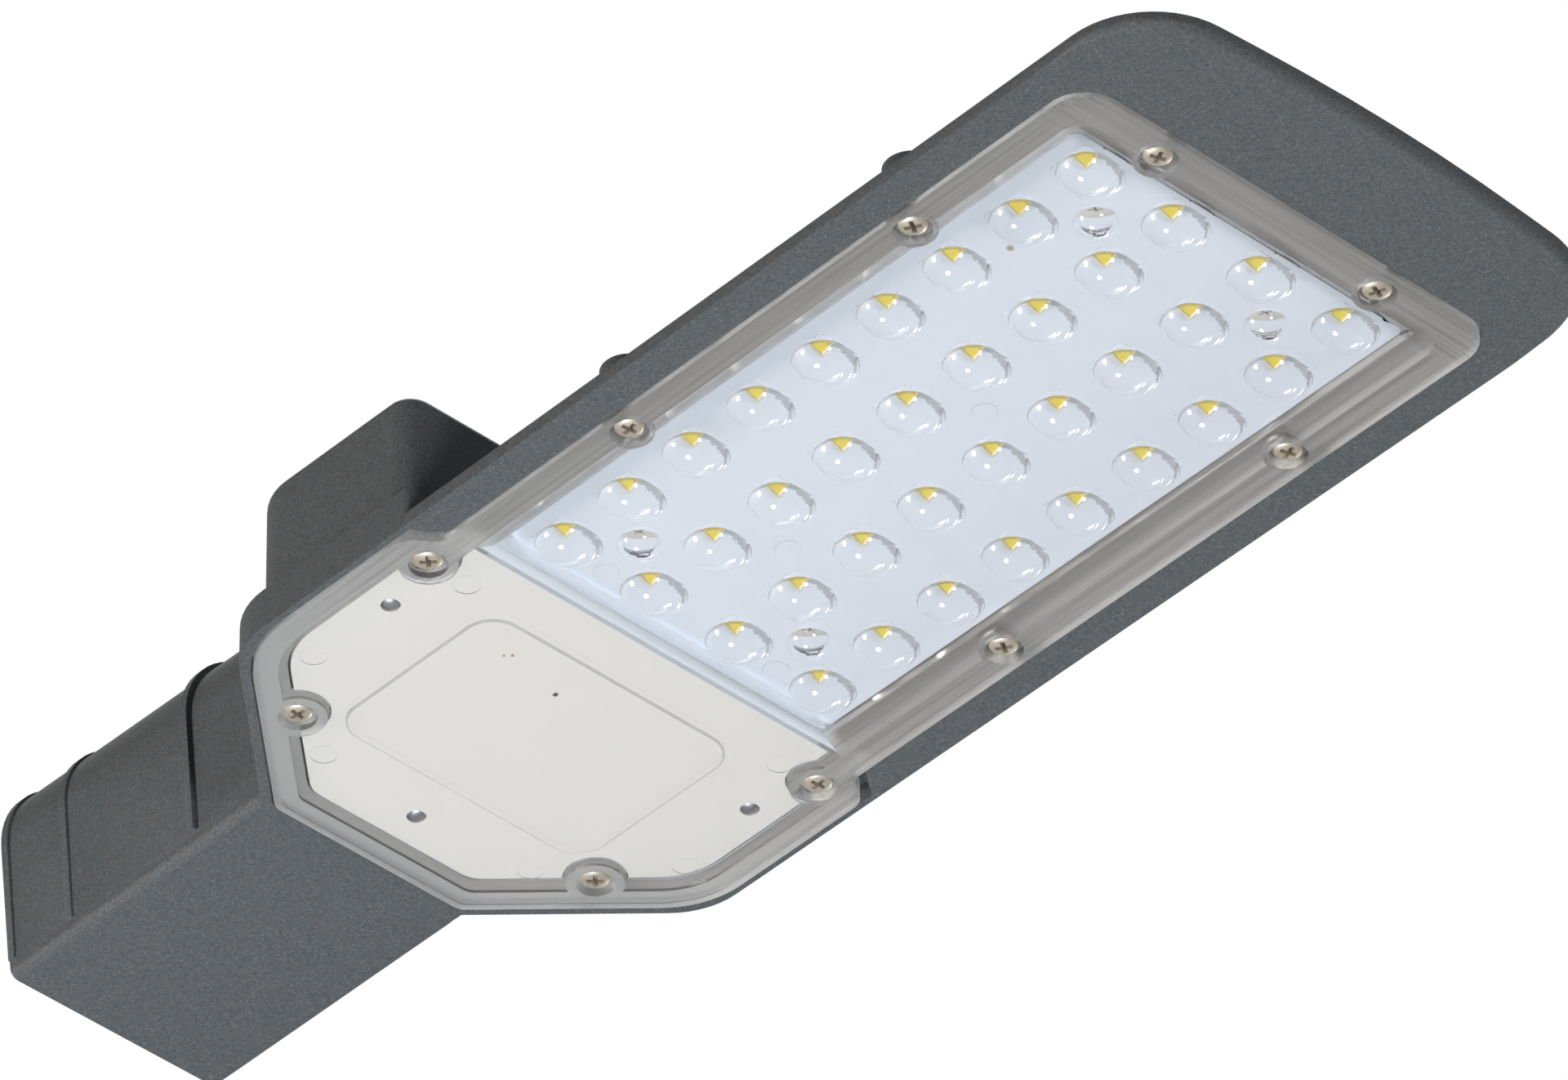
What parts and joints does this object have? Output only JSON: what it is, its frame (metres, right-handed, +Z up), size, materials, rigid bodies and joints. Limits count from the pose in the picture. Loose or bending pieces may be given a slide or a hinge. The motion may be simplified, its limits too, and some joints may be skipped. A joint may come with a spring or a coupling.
{
  "type": "led street light head",
  "caption": "Street light head with a cast housing, a socket for a horizontal pole and a clear cover moulded with rows of lenses.",
  "frame": {"origin": "middle of the mouth of the pole socket, on the socket's axis", "axes": "+X from the socket's mouth to the far end of the head, +Y across it, +Z up, so the light leaves towards -Z"},
  "size_m": [0.4015, 0.1368, 0.0751],
  "materials": {
    "housing_paint": "satin",
    "clear_cover": "gloss",
    "seal": "matte",
    "nickel_screw": "polished",
    "board_white": "matte",
    "led_phosphor": "satin",
    "pad_grey": "matte",
    "connector_white": "satin",
    "plate_white": "satin",
    "steel_pin": "polished",
    "driver_metal": "satin",
    "steel_screw": "satin",
    "board_green": "satin",
    "ferrite": "matte",
    "winding_copper": "satin",
    "capacitor_sleeve": "gloss",
    "terminal_plastic": "satin",
    "lead_red": "satin",
    "lead_black": "satin",
    "lead_brown": "satin",
    "lead_blue": "satin"
  },
  "bodies": {
    "root": {"housing": "housing_paint", "lens_cover": "clear_cover", "seal_gasket": "seal", "cover_screws": "nickel_screw", "led_board": "board_white", "led_packages": "led_phosphor", "thermal_pad": "pad_grey", "board_screws": "nickel_screw", "board_connector": "connector_white", "driver_cover": "plate_white", "driver_cover_pins": "steel_pin", "driver_case": "driver_metal", "driver_lid": "driver_metal", "driver_screws": "steel_screw", "driver_circuit_board": "board_green", "transformer_core": "ferrite", "transformer_winding": "winding_copper", "driver_capacitors": "capacitor_sleeve", "driver_inductor": "winding_copper", "terminal_block": "terminal_plastic", "terminal_screws": "steel_screw", "cable_grommet": "seal", "earth_screw": "steel_screw", "earth_washer": "steel_screw", "clamp_bolts": "steel_screw", "clamp_lock_nuts": "steel_screw", "led_lead_positive": "lead_red", "led_lead_negative": "lead_black", "mains_lead_live": "lead_brown", "mains_lead_neutral": "lead_blue"}
  },
  "joints": []
}
